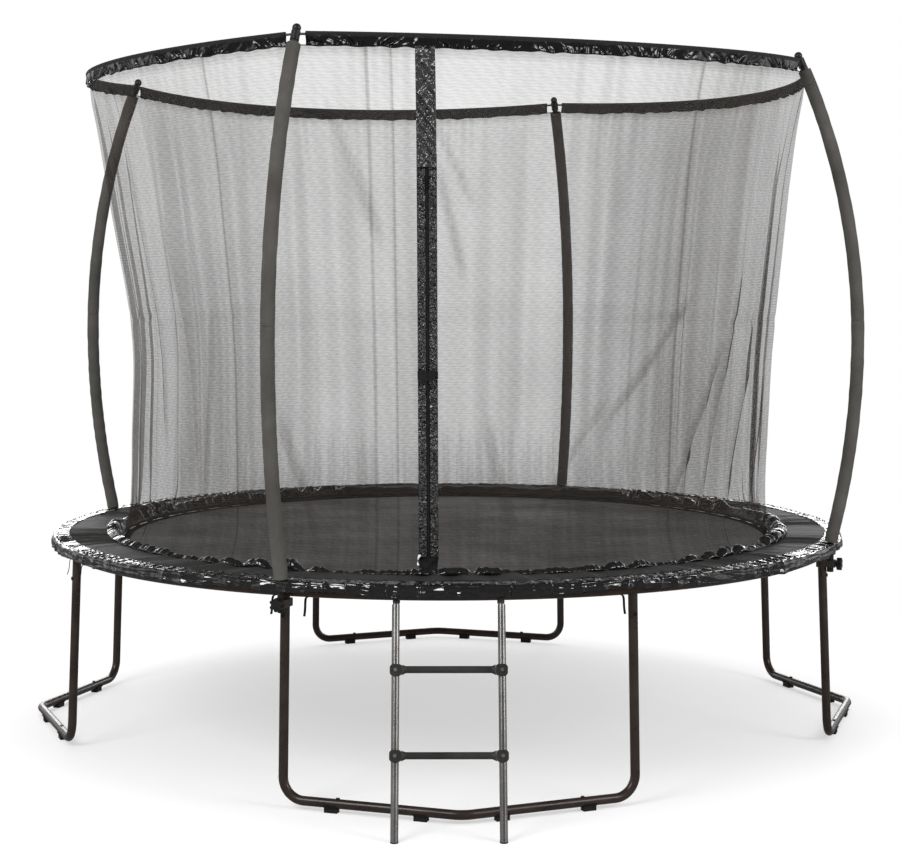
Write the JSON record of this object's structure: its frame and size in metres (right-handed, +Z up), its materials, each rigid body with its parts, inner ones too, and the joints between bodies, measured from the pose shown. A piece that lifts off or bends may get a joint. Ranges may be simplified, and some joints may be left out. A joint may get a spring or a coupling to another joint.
{
  "type": "trampoline",
  "caption": "Round garden trampoline with a sprung mat, padded spring cover, curved foam-sleeved poles, an inner zip-up safety net and a hook-on ladder that swings.",
  "frame": {"origin": "on the ground, under the middle of the mat", "axes": "+Z up, -Y towards the ladder and the zip entrance, +X to the right seen from the ladder"},
  "size_m": [3.2998, 3.5075, 2.5881],
  "materials": {
    "frame_paint": "satin dark brown-black paint",
    "leg_paint": "satin dark brown-black paint",
    "zinc_steel": "zinc plated",
    "pole_steel": "satin black paint",
    "foam_sleeve": "matte closed-cell foam",
    "black_plastic": "moulded, fine grain",
    "rubber": "moulded rubber",
    "fibreglass": "pultruded rod",
    "band_fabric": "glossy crinkled coated fabric",
    "mat_weave": "woven polypropylene",
    "webbing": "woven webbing",
    "pad_foam": "open-cell foam sheet",
    "pad_vinyl": "coated fabric, glossy edges",
    "net_mesh": "fine black mesh",
    "zip_metal": "black enamelled zinc alloy",
    "ladder_paint": "satin gunmetal paint"
  },
  "bodies": {
    "root": {"buckle_socket": "black_plastic", "frame_rail_1": "frame_paint", "frame_rail_2": "frame_paint", "frame_rail_3": "frame_paint", "frame_rail_4": "frame_paint", "frame_rail_5": "frame_paint", "frame_rail_6": "frame_paint", "frame_rail_7": "frame_paint", "frame_rail_8": "frame_paint", "leg_base_back": "leg_paint", "leg_base_front": "leg_paint", "leg_base_left": "leg_paint", "leg_base_right": "leg_paint", "leg_bolts": "zinc_steel", "leg_feet": "rubber", "leg_upright_1": "leg_paint", "leg_upright_2": "leg_paint", "leg_upright_3": "leg_paint", "leg_upright_4": "leg_paint", "leg_upright_5": "leg_paint", "leg_upright_6": "leg_paint", "leg_upright_7": "leg_paint", "leg_upright_8": "leg_paint", "net_cord": "webbing", "pad_cover": "pad_vinyl", "pad_foam": "pad_foam", "pad_skirt": "pad_vinyl", "pad_ties": "webbing", "pole_1": "pole_steel", "pole_2": "pole_steel", "pole_3": "pole_steel", "pole_4": "pole_steel", "pole_brackets": "leg_paint", "pole_caps": "black_plastic", "pole_foam_1": "foam_sleeve", "pole_foam_2": "foam_sleeve", "pole_foam_3": "foam_sleeve", "pole_foam_4": "foam_sleeve", "ring_rods": "fibreglass", "ring_sleeve": "band_fabric", "safety_net": "net_mesh", "springs": "zinc_steel", "tube_spigots": "zinc_steel", "zip_flap": "band_fabric", "zip_tapes": "webbing"},
    "mat": {"jump_mat": "mat_weave", "mat_hem": "webbing", "mat_rings": "zinc_steel"},
    "ladder": {"ladder_rail_left": "ladder_paint", "ladder_rail_right": "ladder_paint", "ladder_hooks": "ladder_paint", "ladder_tips": "rubber", "ladder_rungs": "ladder_paint", "ladder_bolts": "zinc_steel"},
    "zip_pull": {"zip_slider": "zip_metal"},
    "buckle": {"buckle_tongue": "black_plastic"},
    "knob_1": {"star_knob_1": "black_plastic"},
    "knob_2": {"star_knob_2": "black_plastic"},
    "knob_3": {"star_knob_3": "black_plastic"},
    "knob_4": {"star_knob_4": "black_plastic"}
  },
  "joints": [
    {"name": "mat_bounce", "type": "slide", "parent": "root", "child": "mat", "axis": [0, 0, 1], "range_m": [-0.15, 0], "stiffness_N_per_m": 4000, "deforming": ["springs", "net_cord"]},
    {"name": "ladder_swing", "type": "hinge", "parent": "root", "child": "ladder", "pos_m": [-0.03917, -1.49575, 0.725], "axis": [-0.9997, 0.0262, 0], "range_deg": [0, 43], "deforming": ["pad_skirt"]},
    {"name": "zip_travel", "type": "slide", "parent": "root", "child": "zip_pull", "axis": [-0.0057, -0.0708, 0.9975], "range_m": [-1.2, 0]},
    {"name": "buckle_release", "type": "slide", "parent": "root", "child": "buckle", "axis": [0.9968, -0.0802, 0], "range_m": [0, 0.022]},
    {"name": "knob_1_turn", "type": "hinge", "parent": "root", "child": "knob_1", "pos_m": [-0.59833, -1.44449, 0.686], "axis": [-0.3827, -0.9239, 0], "continuous": true},
    {"name": "knob_2_turn", "type": "hinge", "parent": "root", "child": "knob_2", "pos_m": [1.44449, -0.59833, 0.686], "axis": [0.9239, -0.3827, 0], "continuous": true},
    {"name": "knob_3_turn", "type": "hinge", "parent": "root", "child": "knob_3", "pos_m": [0.59833, 1.44449, 0.686], "axis": [0.3827, 0.9239, 0], "continuous": true},
    {"name": "knob_4_turn", "type": "hinge", "parent": "root", "child": "knob_4", "pos_m": [-1.44449, 0.59833, 0.686], "axis": [-0.9239, 0.3827, 0], "continuous": true}
  ]
}
